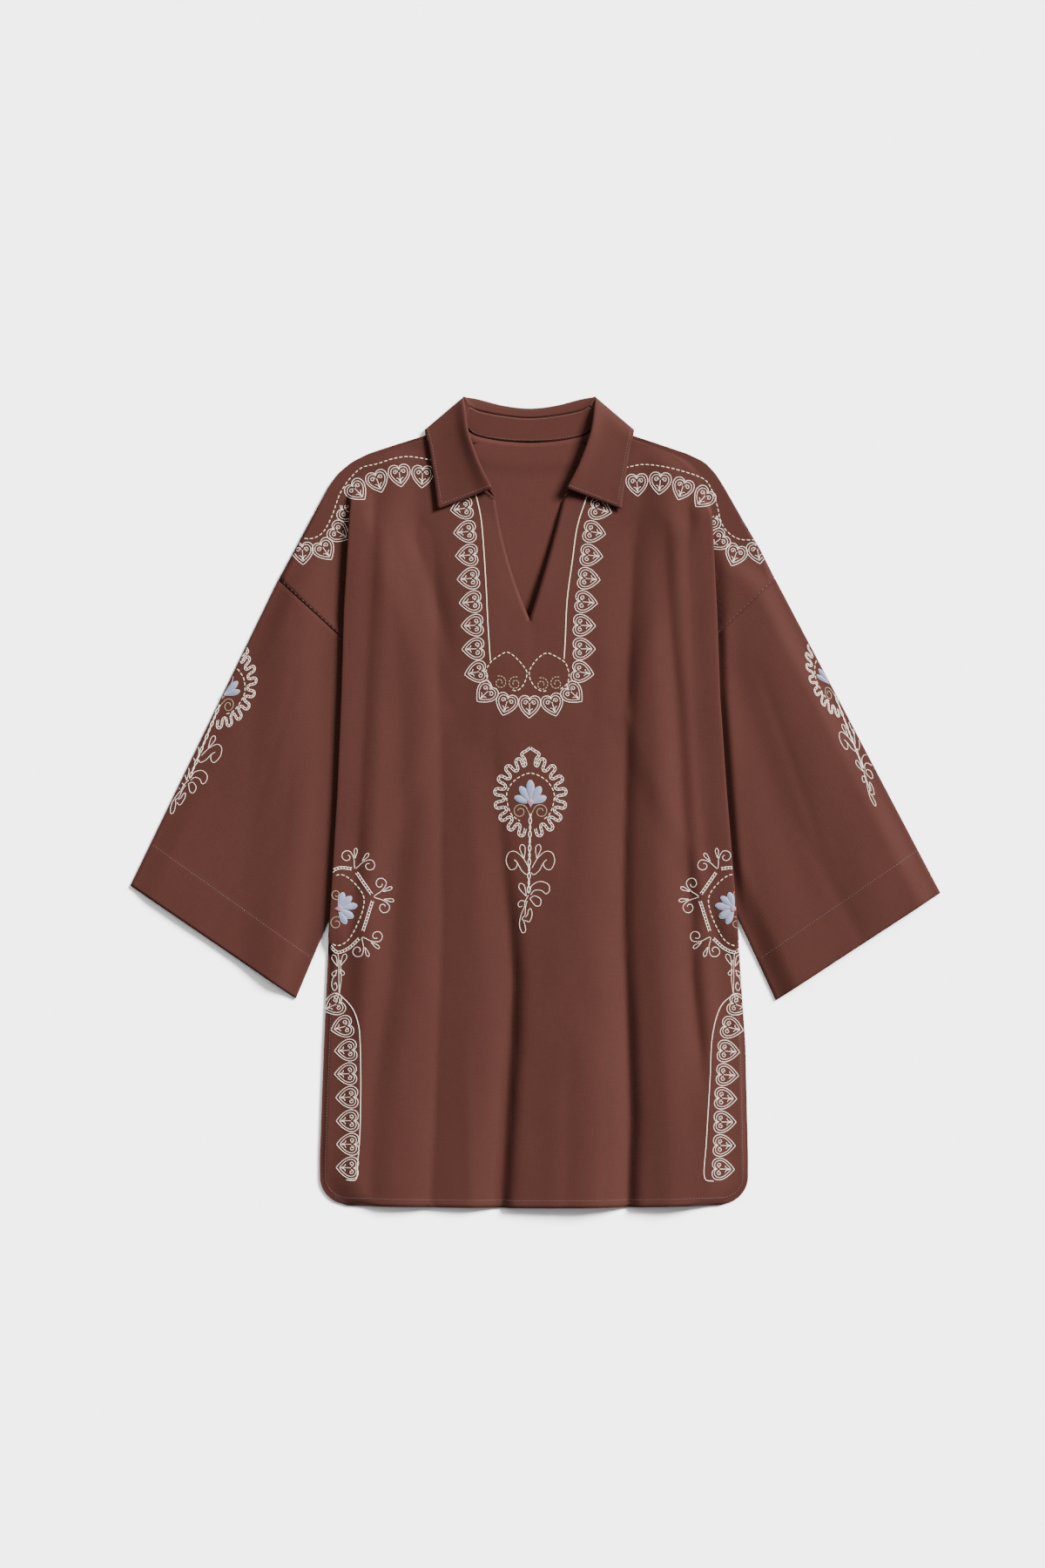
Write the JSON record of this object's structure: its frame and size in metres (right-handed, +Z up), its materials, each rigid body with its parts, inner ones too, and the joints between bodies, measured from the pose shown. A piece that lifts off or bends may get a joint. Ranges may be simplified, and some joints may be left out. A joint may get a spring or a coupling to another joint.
{
  "type": "long-sleeved kurti laid flat",
  "caption": "Cotton kurti tunic laid flat, with a turned-down collar, a keyhole neck slit, wide sleeves tucked beside the body and open side vents.",
  "frame": {"origin": "middle of the garment's box, on the surface that it lies on", "axes": "+Z up off the surface, +Y towards the collar, +X to the wearer's left"},
  "size_m": [0.8838, 0.884, 0.0161],
  "materials": {
    "cloth": "plain-woven cotton, matt with a faint sheen",
    "thread_cream": "cream chain-stitch cord",
    "thread_gold": "olive gold running stitch",
    "thread_blue": "blue-grey satin stitch",
    "thread_pink": "pink satin stitch",
    "thread_tonal": "seam and hem thread in the colour of the cloth"
  },
  "bodies": {
    "root": {"front": "cloth", "back": "cloth", "sleeve_left": "cloth", "sleeve_right": "cloth", "collar_stand": "cloth", "collar_fall": "cloth"}
  },
  "joints": []
}
